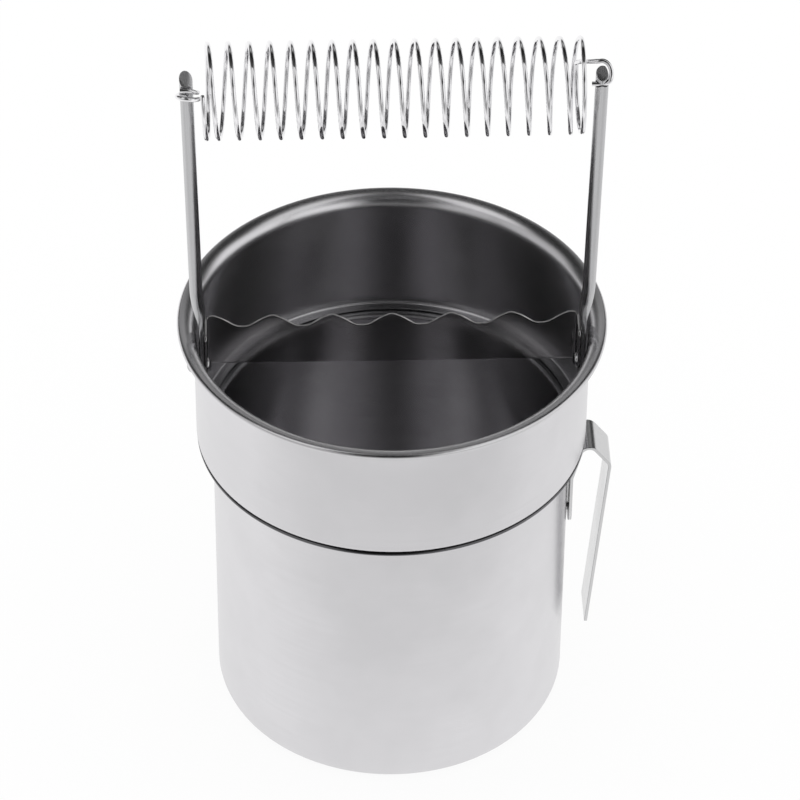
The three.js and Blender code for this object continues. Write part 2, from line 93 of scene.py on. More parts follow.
class VesselSizes(bpy.types.PropertyGroup):
    """Sizes of the lower cup and of the collar above it."""
    sheet: length("Sheet", "Thickness of both drawn vessels", 0.0005)
    seam_height: length("Seam height", "Height at which the collar sits on the cup", 0.0732)
    cup_radius: length("Cup radius", "Outside of the lower cup", 0.0398)
    cup_corner: length("Cup corner", "Outside radius of the cup's bottom edge", 0.0049)
    cup_mouth: length("Cup mouth", "Radius that turns the wall out into the flange", 0.001)
    lip_radius: length("Lip radius", "Half the thickness of the flange's curled edge", 0.00038)
    flange_radius: length("Flange radius", "Edge of the cup's flange", 0.0433)
    collar_radius: length("Collar radius", "Outside of the collar's wall", 0.0434)
    collar_corner: length("Collar corner", "Outside radius of the collar's lower edge", 0.00115)
    ledge_radius: length("Ledge radius", "Inner edge of the collar's ledge", 0.0406)
    rim_radius: length("Rim radius", "Outside of the rolled rim", 0.047)
    bead_radius: length("Bead radius", "Half the thickness of the rolled rim", 0.00075)
    bead_height: length("Bead height", "Middle of the rolled rim", 0.1034)
    bore_height: length("Bore height", "Height of the clip's rivet hole", 0.0482)
    bore_radius: length("Bore radius", "Radius of the clip's rivet hole", 0.0011)
    steps: count("Steps", "Facets round the axis", 360, 32, 720)


class StripSizes(bpy.types.PropertyGroup):
    """Sizes of the wavy strip across the mouth."""
    thickness: length("Thickness", "Thickness of the strip", 0.00045)
    plane: length("Plane", "Distance of the strip behind the centre line", 0.0008)
    bottom: length("Bottom", "Height of the straight lower edge", 0.091)
    wave_middle: length("Wave middle", "Height halfway up the waves", 0.10275)
    wave_swing: length("Wave swing", "Half the height of the waves", 0.0015)
    wave_pitch: length("Wave pitch", "Length of one wave", 0.01307)
    tab_outer: length("Tab outside", "Outer face of each folded tab", 0.04088)
    tab_reach: length("Tab reach", "From the strip's plane to the front edge of a tab", 0.0073)
    tab_bend: length("Tab bend", "Radius of the fold in the middle of the sheet", 0.0008)
    tab_round: length("Tab rounding", "Radius of the front corners of a tab", 0.0012)


class PostSizes(bpy.types.PropertyGroup):
    """Sizes of the two posts and their rivets."""
    radius: length("Radius", "Radius of the round rod", 0.0014)
    top_x: length("Top", "Distance of the axis from the middle at the hooks", 0.0433)
    y: length("Place", "Distance of both posts in front of the centre line", 0.003)
    knee_x: length("Knee", "Distance of the axis from the middle at the knee", 0.04255)
    knee_height: length("Knee height", "Height where the rod bends in", 0.115)
    left_tip_front: length("Left tip", "Height of the left slanted tip at its front", 0.1689)
    right_tip_front: length("Right tip", "Height of the right slanted tip at its front", 0.1696)
    left_tip_tilt: share("Left tip tilt", "Fall of the left tip towards the middle", 0.25)
    tip_back: length("Tip back", "Height of both slanted tips at the back", 0.17165)
    foot_x: length("Foot", "Distance of the flat foot from the middle", 0.04158)
    foot_thickness: length("Foot thickness", "Thickness of the flat foot", 0.0014)
    foot_width: length("Foot width", "Width of the flat foot", 0.0044)
    foot_bottom: length("Foot bottom", "Lowest point of the foot", 0.0906)
    foot_top: length("Foot top", "Height where the flat foot ends", 0.1044)
    foot_swell: length("Foot swell", "Height over which the rod turns from round to flat", 0.006)
    rivet_height: length("Rivet height", "Height of the rivets", 0.0935)
    rivet_shank: length("Rivet shank", "Radius of a rivet's shank", 0.001)
    rivet_head: length("Rivet head", "Radius of a rivet's head", 0.0017)
    rivet_rise: length("Rivet rise", "Height of the inner head", 0.00075)
    rivet_outer_rise: length("Rivet outer rise", "Height of the outer head", 0.00135)
    rivet_outer_plane: length("Rivet outer plane", "Foot of the outer head", 0.04368)


class SpringSizes(bpy.types.PropertyGroup):
    """Sizes of the open coil spring."""
    wire_radius: length("Wire radius", "Radius of the wire", 0.0005)
    coil_radius: length("Coil radius", "Radius of the coil, in the middle of the wire", 0.0099)
    coil_height: length("Coil height", "Height of the coil's axis in the middle", 0.16735)
    coil_rise: length("Coil rise", "How much higher its right end lies than its middle", 0.00018)
    coil_half: length("Coil half length", "Half its length, where its end turns close up", 0.03895)
    closed_turn: share("Closed turn", "The turn that lies there", 9.037)
    first_turn: share("First turn", "Turn where the wire comes from the left hook", -9.73)
    last_turn: share("Last turn", "Turn where the wire leaves for the right hook", 9.845)
    stretch: share("Stretch", "Turn at which both end stretches begin", 9.45)
    spiral: length("Spiral", "How far the last stretch draws in", 0.0016)
    right_lean: length("Right lean", "How far the last stretch leans in along the coil", 0.00045)
    left_splay: length("Left splay", "How far the first stretch leans out", 0.0008)
    turn_steps: count("Turn steps", "Stations in one turn", 56, 16, 96)
    wire_sides: count("Wire sides", "Facets round the wire", 16, 8, 32)


# The sizes of a hook: attribute, kind, title, description, left and right default.
HOOK_SIZES = (
    ("x", length, "Middle", "Where its middle lies along X", -0.0431, 0.0433),
    ("radius", length, "Radius", "Radius of the hook", 0.00215, 0.0019),
    ("notch", length, "Notch", "Height of its last strand", 0.1686, 0.1684),
    ("bite", length, "Bite", "How deep that strand lies in the post", 0.00035, 0.00125),
    ("lean", length, "Lean", "How much its front stands above its middle", 0.0012, -0.002),
    ("climb", length, "Climb", "Rise in one turn", 0.0018, 0.0),
    ("first", share, "First bearing", "Bearing where it comes from the coil", 0.24, 0.72),
    ("step", share, "Step", "Bearing over which its direction there is taken", 0.0625, 0.053),
    ("tail", length, "Tail", "Straight end past the notch", 0.0015, 0.0022),
    ("grip", share, "Grip", "Share of the link in the hook's direction", 0.35, 0.35),
    ("coil_grip", share, "Coil grip", "Share of the link in the coil's direction", 0.03, 0.06))


def hook_group(side, column):
    """The property group of one hook, with its column of the table as defaults."""
    sizes = {row[0]: row[1](row[2], row[3], row[column]) for row in HOOK_SIZES}
    content = {"__doc__": f"Sizes of the {side.lower()} hook.", "__annotations__": sizes}
    return type(side + "HookSizes", (bpy.types.PropertyGroup,), content)


LeftHookSizes, RightHookSizes = hook_group("Left", 4), hook_group("Right", 5)


class ClipSizes(bpy.types.PropertyGroup):
    """Sizes of the sprung clip and its rivet."""
    thickness: length("Thickness", "Thickness of the clip", 0.0007)
    width: length("Width", "Width of the clip", 0.0099)
    face: length("Face", "Back of the tongue, next to the cup's wall", 0.0401)
    tongue_bottom: length("Tongue bottom", "Lowest point of the tongue", 0.0454)
    tongue_top: length("Tongue top", "Height where the tongue bends out", 0.0603)
    tongue_bend: length("Tongue bend", "Radius of that bend", 0.0022)
    crest_x: length("Crest", "Distance of the bridge's corner from the axis", 0.04323)
    crest_height: length("Crest height", "Height of the bridge's corner", 0.07161)
    crest_bend: length("Crest bend", "Radius that rounds it off", 0.00196)
    knee_x: length("Knee", "Distance of the outer bend from the axis", 0.048945)
    knee_height: length("Knee height", "Height of the outer bend", 0.06437)
    knee_bend: length("Knee bend", "Radius of that bend", 0.0022)
    end_x: length("End", "Distance of the leg's end from the axis", 0.0451)
    end_height: length("End height", "Height of the leg's end", 0.0169)
    rivet_height: length("Rivet height", "Height of the clip's rivet", 0.0482)
    rivet_shank: length("Rivet shank", "Radius of the rivet's shank", 0.0008)
    rivet_head: length("Rivet head", "Radius of the rivet's heads", 0.0014)
    rivet_rise: length("Rivet rise", "Height of the rivet's heads", 0.00045)


class WasherColours(bpy.types.PropertyGroup):
    """Colours of the steels."""
    vessel: colour("Vessel", "Satin steel of cup and collar", (0.765, 0.757, 0.775))
    strip: colour("Strip", "Polished steel of the strip", (0.62, 0.61, 0.615))
    rod: colour("Posts", "Drawn steel of the posts", (0.6, 0.6, 0.61))
    sawn: colour("Sawn faces", "Dull cut tips of the posts", (0.6, 0.56, 0.58))
    wire: colour("Spring", "Bright wire of the spring", (0.92, 0.915, 0.93))
    clip: colour("Clip", "Satin steel of the clip", (0.68, 0.68, 0.685))
    rivet: colour("Rivets", "Steel of the rivets", (0.6, 0.6, 0.61))


# Lines and profiles.

def unit(vector):
    """The vector's direction."""
    return vector / np.linalg.norm(vector, axis=-1, keepdims=True)


def straight_supports(points, gap, spacing):
    """The same line with more points on its long straight runs: one a short gap from each end and
    the rest evenly spaced. It keeps the shading true next to tight bends."""
    pieces = []
    for a, b in zip(points[:-1], points[1:]):
        run = np.linalg.norm(b - a)
        if run > 3 * gap:
            inner = np.linspace(gap / run, 1 - gap / run, max(2, int(run / spacing) + 1))
            t = np.concatenate([[0.0], inner])
        else:
            t = np.array([0.0])
        pieces.append(a + (b - a) * t[:, None])
    return np.concatenate([*pieces, points[-1:]])


def spokes(arm, angle):
    """The arm (x, y) turned by each angle a: (x cos a - y sin a, x sin a + y cos a)."""
    cos, sin = np.cos(angle), np.sin(angle)
    return np.stack([arm[0] * cos - arm[1] * sin, arm[0] * sin + arm[1] * cos], axis=1)


def bent_line(corners, radii, offset, steps=12):
    """The line through the corners, each inner corner rounded to its radius, moved sideways by the
    offset, which is positive to the left: centre of the arc + spoke turned from 0 to the bend."""
    corners = np.asarray(corners, float)
    heading = unit(np.diff(corners, axis=0))
    left = np.stack([-heading[:, 1], heading[:, 0]], axis=1)
    pieces = [corners[:1] + left[0] * offset]
    for i, radius in enumerate(radii, start=1):
        before, after = heading[i - 1], heading[i]
        turn = math.atan2(before[0] * after[1] - before[1] * after[0], before @ after)
        side = math.copysign(1, turn)
        start = corners[i] - before * radius * math.tan(abs(turn) / 2)
        centre = start + left[i - 1] * side * radius
        arm = left[i - 1] * (offset - side * radius)
        pieces.append(centre + spokes(arm, np.linspace(0, turn, steps + 1)))
    pieces.append(corners[-1:] + left[-1] * offset)
    return np.concatenate(pieces)


def half_round(a, b, steps=8):
    """The half circle from a to b that rounds a sheet's cut edge, anticlockwise, ends left out."""
    return (a + b) / 2 + spokes((a - b) / 2, np.linspace(0, math.pi, steps + 1)[1:-1])


def rolled_edge(centre, radius, start, steps=32):
    """The round edge that sheet is rolled into, from the last point of its outside to the top: an
    arc about the centre that runs anticlockwise."""
    reach = start - centre
    angle = math.atan2(reach[1], reach[0])
    first = angle - TURN if angle > 0 else angle
    return centre + spokes((radius, 0), np.linspace(first, math.pi / 2, steps + 1)[:-1])


def rolled_sheet(corners, radii, half, bead, bead_radius, steps=12):
    """The outline of a bent sheet: its outside, the bead at its rolled edge and its inside."""
    outside = bent_line(corners, radii, -half, steps)
    inside = bent_line(corners, radii, half, steps)
    clear = outside[np.linalg.norm(outside - bead, axis=1) > bead_radius * BEAD_MARGIN]
    return np.concatenate([clear, rolled_edge(bead, bead_radius, clear[-1]), inside[::-1]])


def along(points):
    """Distance of each point from the first, along the line."""
    return np.concatenate([[0], np.cumsum(np.linalg.norm(np.diff(points, axis=0), axis=1))])


def smooth(t):
    """3t2 - 2t3 of t held between 0 and 1."""
    t = np.clip(t, 0, 1)
    return t * t * (3 - 2 * t)


def oval_section(a, b, sides):
    """An oval section with the half sizes a and b at each station: (a cos t, b sin t)."""
    angle = TURN * np.arange(sides) / sides
    return a[:, None] * np.cos(angle), b[:, None] * np.sin(angle)


def box_section(a, b, edge, rows, steps=4):
    """A rectangular section with rounded corners and the half sizes a and b at each station. A
    point is (sign u * (a - edge) + du, sign v * (b - edge) + dv). Rows crowd at the corners."""
    corners = ((1, 1), (-1, 1), (-1, -1), (1, -1))
    signs, offsets = [], []
    for number, sign in enumerate(corners):
        following = corners[(number + 1) % 4]
        angle = TURN * np.linspace(number / 4, number / 4 + 0.25, steps + 1)
        offsets.append(edge * np.stack([np.cos(angle), np.sin(angle)], axis=1))
        signs.append(np.tile(sign, (steps + 1, 1)))
        t = 0.5 - 0.5 * np.cos(math.pi * np.linspace(0, 1, rows + 2)[1:-1, None])
        signs.append(np.array(sign) * (1 - t) + np.array(following) * t)
        offsets.append(np.tile(offsets[-1][-1], (rows, 1)))
    signs, offsets = np.concatenate(signs), np.concatenate(offsets)
    return (signs[:, 0] * (a[:, None] - edge) + offsets[:, 0],
            signs[:, 1] * (b[:, None] - edge) + offsets[:, 1])


# Meshes.

def grid_mesh(name, grid, u, v, closed=True, caps=False):
    """A mesh from a grid of points: rows follow the path and columns go round the section. The
    columns join up; the rows do too if closed. Caps fill both ends. u and v are distances in metres
    along rows and columns, with one value more where the grid joins up, and become the UV map."""
    rows, columns = grid.shape[:2]
    number = np.arange(rows * columns).reshape(rows, columns)
    a, b = np.indices((rows if closed else rows - 1, columns))
    corners_i = np.stack([a, a, a + 1, a + 1], axis=-1).reshape(-1, 4)
    corners_j = np.stack([b, b + 1, b + 1, b], axis=-1).reshape(-1, 4)
    faces = number[corners_i % rows, corners_j % columns].tolist()
    uv = np.stack([u[corners_i], v[corners_j]], axis=-1).reshape(-1, 2)
    if caps:
        faces += [number[0, ::-1].tolist(), number[-1].tolist()]
        for ring in (grid[0, ::-1], grid[-1]):
            flat = ring - ring.mean(axis=0)
            axes = np.linalg.svd(flat, full_matrices=False)[2]
            uv = np.concatenate([uv, flat @ axes[:2].T])
    mesh = bpy.data.meshes.new(name)
    mesh.from_pydata(grid.reshape(-1, 3).tolist(), [], faces)
    mesh.uv_layers.new(name="UVMap").data.foreach_set("uv", uv.astype(np.float32).ravel())
    work = bmesh.new()
    work.from_mesh(mesh)
    bmesh.ops.remove_doubles(work, verts=work.verts, dist=1e-7)
    bmesh.ops.dissolve_degenerate(work, edges=work.edges, dist=1e-8)
    if work.calc_volume(signed=True) < 0:
        bmesh.ops.reverse_faces(work, faces=work.faces)
    work.to_mesh(mesh)
    work.free()
    mesh.polygons.foreach_set("use_smooth", np.ones(len(mesh.polygons), bool))
    mesh.set_sharp_from_angle(angle=CREASE)
    made = bpy.data.objects.new(name, mesh)
    bpy.context.scene.collection.objects.link(made)
    return made


def turned(name, profile, steps, axis="Z", closed=True):
    """A profile of (radius, height) turned about an axis: (r cos a, r sin a, h). A profile that
    starts and ends on the axis is closed there by its poles, and any other closes on itself."""
    radius, height = profile.T
    x, y = oval_section(radius, radius, steps)
    z = np.broadcast_to(height[:, None], x.shape)
    grid = np.stack([x, y, z] if axis == "Z" else [z, x, y], axis=-1)
    loop = np.concatenate([profile, profile[:1]]) if closed else profile
    around = TURN * np.arange(steps + 1) / steps * radius.max()
    return grid_mesh(name, grid, along(loop), around, closed=closed)


def swept(name, centre, first, second, section):
    """A section carried along a path: centre + first * p + second * q, where (p, q) is the
    section's point at that station. Caps close both ends."""
    p, q = section
    grid = centre[:, None] + first[:, None] * p[..., None] + second[:, None] * q[..., None]
    ring = np.stack([p[len(p) // 2], q[len(p) // 2]], axis=1)
    ring = np.concatenate([ring, ring[:1]])
    return grid_mesh(name, grid, along(centre), along(ring), closed=False, caps=True)


def cut_away(piece, *cutters):
    """Takes the cutters' solids out of the piece and removes them."""
    for cutter in cutters:
        modifier = piece.modifiers.new("cut", "BOOLEAN")
        modifier.operation = "DIFFERENCE"
        modifier.solver = "EXACT"
        modifier.object = cutter
    graph = bpy.context.evaluated_depsgraph_get()
    graph.update()
    done = bpy.data.meshes.new_from_object(piece.evaluated_get(graph))
    piece.modifiers.clear()
    old, piece.data = piece.data, done
    bpy.data.meshes.remove(old)
    done.set_sharp_from_angle(angle=CREASE)
    for cutter in cutters:
        bpy.data.objects.remove(cutter)
    return piece


def bar_along_x(radius, x, reach, y, z, sides=48):
    """A round bar that cuts a hole as far to both sides of x, at (y + r cos a, z + r sin a)."""
    centre = np.array([(x - reach, y, z), (x + reach, y, z)], float)
    first, second = np.tile([0, 1, 0], (2, 1)), np.tile([0, 0, 1], (2, 1))
    radii = np.full(2, radius)
    return swept("cutter", centre, first, second, oval_section(radii, radii, sides))


def pin_hole(post, x, reach=0.003):
    """The bar that cuts a hole for the posts' rivets at the given X."""
    return bar_along_x(post.rivet_shank + CLEARANCE, x, reach, -post.y, post.rivet_height)


# Materials.

class Shader:
    """A material's node tree with short ways to add and join its nodes."""

    def __init__(self, name, world=None):
        self.material = world or bpy.data.materials.new(name)
        self.material.use_nodes = True
        self.tree = self.material.node_tree
        self.tree.nodes.clear()
        self.output = self.add("ShaderNodeOutputWorld" if world else "ShaderNodeOutputMaterial")

    def add(self, kind, inputs=None, **settings):
        """A node with settings, and with inputs that hold a value or take another's output."""
        made = self.tree.nodes.new(kind)
        for key, value in settings.items():
            setattr(made, key, value)
        for key, value in (inputs or {}).items():
            if isinstance(value, bpy.types.NodeSocket):
                self.tree.links.new(value, made.inputs[key])
            else:
                made.inputs[key].default_value = value
        return made

    def noise(self, vector, scale, detail, roughness):
        """Noise of the given scale, between 0 and 1."""
        inputs = {"Vector": vector, "Scale": scale, "Detail": detail, "Roughness": roughness}
        return self.add("ShaderNodeTexNoise", inputs).outputs["Fac"]

    def stretched(self, vector, x, y, turn=0.0):
        """The coordinate stretched, so that a pattern on it is drawn out into lines."""
        inputs = {"Vector": vector, "Scale": (x, y, 1.0), "Rotation": (0, 0, turn)}
        return self.add("ShaderNodeMapping", inputs).outputs["Vector"]

    def ranged(self, value, low, high, to_low, to_high):
        """The value mapped from one range to another and held there."""
        inputs = {
            "Value": value, "From Min": low, "From Max": high, "To Min": to_low, "To Max": to_high}
        return self.add("ShaderNodeMapRange", inputs).outputs["Result"]

    def split(self, vector):
        """The three parts of a coordinate, by the names X, Y and Z."""
        return self.add("ShaderNodeSeparateXYZ", {0: vector}).outputs

    def ramp(self, value, low, high, stops):
        """A grey level by the value between low and high, through stops of (share, level)."""
        share = self.ranged(value, low, high, 0.0, 1.0)
        made = self.add("ShaderNodeValToRGB", {"Fac": share})
        elements = made.color_ramp.elements
        elements.remove(elements[0])
        elements[0].position, elements[0].color = stops[0][0], (*[stops[0][1]] * 3, 1)
        for position, level in stops[1:]:
            elements.new(position).color = (level, level, level, 1)
        return made.outputs["Color"]

    def math(self, operation, *values):
        """One sum of up to three values."""
        return self.add("ShaderNodeMath", dict(enumerate(values)), operation=operation).outputs[0]

    def mix(self, fac, a, b, blend="MIX"):
        """One colour mixed with another."""
        inputs = {"Factor": fac, 6: a, 7: b}
        return self.add("ShaderNodeMix", inputs, data_type="RGBA", blend_type=blend).outputs[2]

    def finish(self, surface):
        """Joins the last shader to the output and gives the finished material."""
        self.tree.links.new(surface.outputs[0], self.output.inputs["Surface"])
        return self.material


# The values of a noise that count as low and high, for a soft and for a firmer pattern.
SOFT, FIRM = (0.3, 0.7), (0.35, 0.65)
# Scratches: stretch and turn on the UV map, noise where one begins and is full, and roughness.
SCRATCH_STRETCH, SCRATCH_TURN = (900.0, 60.0), 0.35
SCRATCH_SPAN, SCRATCH_ROUGHNESS = (0.70, 0.76), 0.3
LEAST_ROUGHNESS = 0.03
# How dark steel is under a smudge, and the share of that in the grain.
SMUDGE_SHADE, GRAIN_SHADE = 0.93, 0.2
# Painted shade in the seam's groove: its colour, and where it fades on both sides of the middle.
SEAM_SHADE, SEAM_SHADE_FADE = (0.1, 0.1, 0.105, 1.0), (0.0004, 0.0008)


def steel(name, tint, roughness, lines, depth, spread, smudge=0.04, scratch=0.25, anisotropy=0.0,
          groove=None):
    """Steel with fine lines drawn out along the UV map, sparse scratches across them and soft
    smudges: they change its roughness, its colour and, as a bump, its surface. Grime darkens it
    round the height of a groove."""
    shader = Shader(name)
    coordinates = shader.add("ShaderNodeTexCoord").outputs
    uv, place = coordinates["UV"], coordinates["Object"]
    grain = shader.noise(shader.stretched(uv, *lines), scale=1.0, detail=4.0, roughness=0.6)
    smudges = shader.noise(place, scale=55.0, detail=3.0, roughness=0.55)
    across = shader.stretched(uv, *SCRATCH_STRETCH, turn=SCRATCH_TURN)
    fine = shader.noise(across, scale=1.0, detail=2.0, roughness=0.7)
    scratches = shader.ranged(fine, *SCRATCH_SPAN, 0.0, scratch)
    rough = shader.ranged(grain, *SOFT, roughness - spread, roughness + spread)
    rough = shader.math("ADD", rough, shader.ranged(smudges, *FIRM, -smudge, smudge))
    rough = shader.math("ADD", rough, shader.math("MULTIPLY", scratches, SCRATCH_ROUGHNESS))
    rough = shader.math("MAXIMUM", rough, LEAST_ROUGHNESS)
    darker = (*(level * SMUDGE_SHADE for level in tint), 1.0)
    base = shader.mix(shader.ranged(smudges, *FIRM, 0.0, 1.0), darker, (*tint, 1.0))
    streaks = shader.math("MULTIPLY", shader.ranged(grain, *SOFT, 0.0, 1.0), GRAIN_SHADE)
    base = shader.mix(streaks, base, darker)
    # Painted shade: the base colour darkens round the groove's height, in patches that follow the
    # smudges.
    if groove:
        away = shader.math("ABSOLUTE", shader.math("SUBTRACT", shader.split(place)["Z"], groove))
        patchy = shader.ranged(smudges, *SOFT, 0.8, 1.0)
        seam_shade = shader.math("MULTIPLY", shader.ranged(away, *SEAM_SHADE_FADE, 1.0, 0.0), patchy)
        base = shader.mix(seam_shade, base, SEAM_SHADE)
    height = shader.math("SUBTRACT", grain, scratches)
    bump = shader.add("ShaderNodeBump", {"Distance": depth, "Height": height})
    inputs = {
        "Base Color": base, "Roughness": rough, "Normal": bump.outputs["Normal"], "Metallic": 1.0,
        "Anisotropic": anisotropy}
    if anisotropy:
        tangent = shader.add("ShaderNodeTangent", direction_type="UV_MAP", uv_map="UVMap")
        inputs["Tangent"] = tangent.outputs["Tangent"]
    return shader.finish(shader.add("ShaderNodeBsdfPrincipled", inputs))


def finish_piece(piece, materials, node, body="vessel"):
    """Gives a piece its materials, body and slot, and hides the CAD node that it stands for."""
    piece.data.materials.clear()
    for material in materials:
        piece.data.materials.append(material)
    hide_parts(node)
    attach(piece, body)


# Pieces.

class WASHER_OT_vessels(bpy.types.Operator):
    """Build the lower cup and the collar"""
    bl_idname = "washer.vessels"
    bl_label = "Cup and collar"

    def execute(self, context):
        size = context.scene.washer_vessel
        tint = context.scene.washer_colours.vessel
        satin = steel(
            "satin_steel", tint, 0.24, lines=(2500.0, 25.0), depth=0.0000004, spread=0.02,
            smudge=0.015, scratch=0.0, anisotropy=0.85, groove=size.seam_height)
        self.build_cup(size, size.sheet / 2, satin)
        self.build_collar(size, size.sheet / 2, satin)
        return {"FINISHED"}

    def build_cup(self, size, half, satin):
        """Flat bottom, rounded edge, straight wall and flange with a curled lip, turned about Z."""
        wall = size.cup_radius - half
        lip = np.array([size.flange_radius - size.lip_radius, size.seam_height - size.lip_radius])
        flange = size.seam_height - half
        corners = [(0, half), (wall, half), (wall, flange), (lip[0], flange)]
        radii = [size.cup_corner - half, size.cup_mouth + half]
        profile = rolled_sheet(corners, radii, half, lip, size.lip_radius)
        profile = straight_supports(profile, gap=0.0004, spacing=0.004)
        cup = turned("cup_body", profile, size.steps, closed=False)
        cut_away(cup, bar_along_x(size.bore_radius, size.cup_radius, 0.004, 0, size.bore_height))
        finish_piece(cup, [satin], "cup")

    def build_collar(self, size, half, satin):
        """Ledge, rounded lower edge, straight wall, flare and rolled rim, turned about Z."""
        wall = size.collar_radius - half
        bead = np.array([size.rim_radius - size.bead_radius, size.bead_height])
        rim_top = size.bead_height + size.bead_radius - half
        ledge = size.seam_height + half
        corners = [
            (size.ledge_radius + half, ledge), (wall, ledge), (wall, rim_top), (bead[0], rim_top)]
        radii = [size.collar_corner - half, bead[0] - wall]
        profile = rolled_sheet(corners, radii, half, bead, size.bead_radius, 24)
        profile = np.concatenate([profile, half_round(profile[-1], profile[0])])
        profile = straight_supports(profile, gap=0.0004, spacing=0.004)
        collar = turned("collar_body", profile, size.steps)
        post = bpy.context.scene.washer_post
        cut_away(collar, *(pin_hole(post, side * size.collar_radius) for side in (-1, 1)))
        finish_piece(collar, [satin], "collar")


class WASHER_OT_strip(bpy.types.Operator):
    """Build the wavy strip"""
    bl_idname = "washer.strip"
    bl_label = "Wave strip"

    def execute(self, context):
        size = context.scene.washer_strip
        half = size.thickness / 2
        middle = size.tab_outer - half
        front = size.plane - size.tab_reach
        plan = [(-middle, front), (-middle, size.plane), (middle, size.plane), (middle, front)]
        line = bent_line(plan, [size.tab_bend] * 2, 0, 16)
        line = straight_supports(line, gap=0.0001, spacing=0.0002)
        first, last = line[1] - line[0], line[-1] - line[-2]
        path = np.concatenate([
            line[0] + first * np.linspace(0, 1, 12)[:-1, None] ** 2, line[1:-1],
            line[-2] + last * (1 - np.linspace(1, 0, 12)[:, None] ** 2)])
        step = unit(np.gradient(path, axis=0))
        across = np.stack([-step[:, 1], step[:, 0], np.zeros(len(path))], axis=1)
        run = along(path)
        from_end = np.minimum(run, run[-1] - run)
        near = np.clip(size.tab_round - from_end, 0, size.tab_round)
        inset = size.tab_round - np.sqrt(size.tab_round ** 2 - near ** 2)
        top = size.wave_middle + size.wave_swing * np.cos(TURN * path[:, 0] / size.wave_pitch)
        low, high = size.bottom + inset, top - inset
        centre = np.stack([path[:, 0], path[:, 1], (low + high) / 2], axis=1)
        upward = np.tile([0.0, 0.0, 1.0], (len(path), 1))
        section = box_section(np.full(len(path), half), (high - low) / 2, edge=0.00012, rows=8)
        strip = swept("wave_strip_body", centre, across, upward, section)
        cut_away(strip, pin_hole(context.scene.washer_post, 0, reach=0.05))
        polished = steel("polished_steel", context.scene.washer_colours.strip, 0.09,
                         lines=(30.0, 2500.0), depth=0.000002, spread=0.03, smudge=0.02)
        finish_piece(strip, [polished], "wave_strip")
        return {"FINISHED"}


class WASHER_OT_posts(bpy.types.Operator):
    """Build both posts"""
    bl_idname = "washer.posts"
    bl_label = "Posts"

    def execute(self, context):
        scene = context.scene
        size = scene.washer_post
        drawn = steel("drawn_rod", scene.washer_colours.rod, 0.27,
                      lines=(25.0, 6000.0), depth=0.000008, spread=0.08)
        sawn = steel("sawn_face", scene.washer_colours.sawn, 0.6,
                     lines=(3000.0, 5000.0), depth=0.00003, spread=0.1)
        for name, hook, side, tip_front, tilt in (
                ("left", scene.washer_left_hook, -1, size.left_tip_front, size.left_tip_tilt),
                ("right", scene.washer_right_hook, 1, size.right_tip_front, 0)):
            post = self.build_post(name + "_rod", size, hook, side, tip_front, tilt, [drawn, sawn])
            finish_piece(post, [drawn, sawn], "post_" + name)
        return {"FINISHED"}

    def build_post(self, name, size, hook, side, tip_front, tilt, materials):
        """Rings of a flattened circle: (a |cos|^n, b |sin|^n) about an axis that bends in to the
        foot and leans out above its knee. The rings near the top shear until they lie in the
        slanted cut, and the last one is drawn in a little to break its edge."""
        round_end = size.foot_width / 2
        swell_top = size.foot_top + size.foot_swell
        cut_height = 0.004
        z = np.concatenate([
            size.foot_bottom + round_end * (1 - np.cos(np.linspace(0.02, 1, 14) * math.pi / 2)),
            np.linspace(size.foot_bottom + round_end + 0.0008, size.foot_top - 0.0005, 14),
            np.linspace(size.foot_top, swell_top, 26),
            np.linspace(swell_top + 0.0006, size.knee_height + 0.002, 14),
            np.linspace(size.knee_height + 0.004, size.tip_back - cut_height, 24),
            [size.tip_back - 0.0001, size.tip_back]])
        lean = (size.top_x - size.knee_x) / (hook.notch - size.knee_height)
        bend = smooth((z - size.foot_top) / (size.knee_height - size.foot_top))
        x = np.where(
            z < size.knee_height, size.foot_x + (size.knee_x - size.foot_x) * bend,
            size.knee_x + lean * (z - size.knee_height))
        flat = smooth((swell_top - z) / size.foot_swell)
        thin = size.radius + (size.foot_thickness / 2 - size.radius) * flat
        wide = size.radius + (round_end - size.radius) * flat
        below = np.clip(1 - (z - size.foot_bottom) / round_end, 0, 1)
        wide = wide * np.sqrt(1 - below ** 2)
        broken_edge = 0.95
        wide[-1] *= broken_edge
        thin[-1] *= broken_edge
        power = 2 / (2 + 3 * flat)
        sides = 56
        angle = TURN * np.arange(sides) / sides
        cos, sin = np.cos(angle), np.sin(angle)
        p = thin[:, None] * np.sign(cos) * np.abs(cos) ** power[:, None]
        q = wide[:, None] * np.sign(sin) * np.abs(sin) ** power[:, None]
        slant = (size.tip_back - tip_front) / (2 * size.radius)
        cut = np.clip((z - (size.tip_back - cut_height)) / cut_height, 0, 1)
        height = z[:, None] + cut[:, None] * (slant * (q - size.radius) - tilt * p)
        grid = np.stack([side * x[:, None] + p, q - size.y, height], axis=-1)
        ring = np.linspace(0, TURN * size.radius, sides + 1)
        post = grid_mesh(name, grid, z, ring, closed=False, caps=True)
        index = np.zeros(len(post.data.polygons), np.int32)
        index[-1] = 1
        post.data.polygons.foreach_set("material_index", index)
        for material in materials:
            post.data.materials.append(material)
        wire = bpy.context.scene.washer_spring.wire_radius
        seat = wire_tube("seat", hook_line(hook, 48), wire + CLEARANCE, 16)
        return cut_away(post, pin_hole(size, side * size.foot_x), seat)


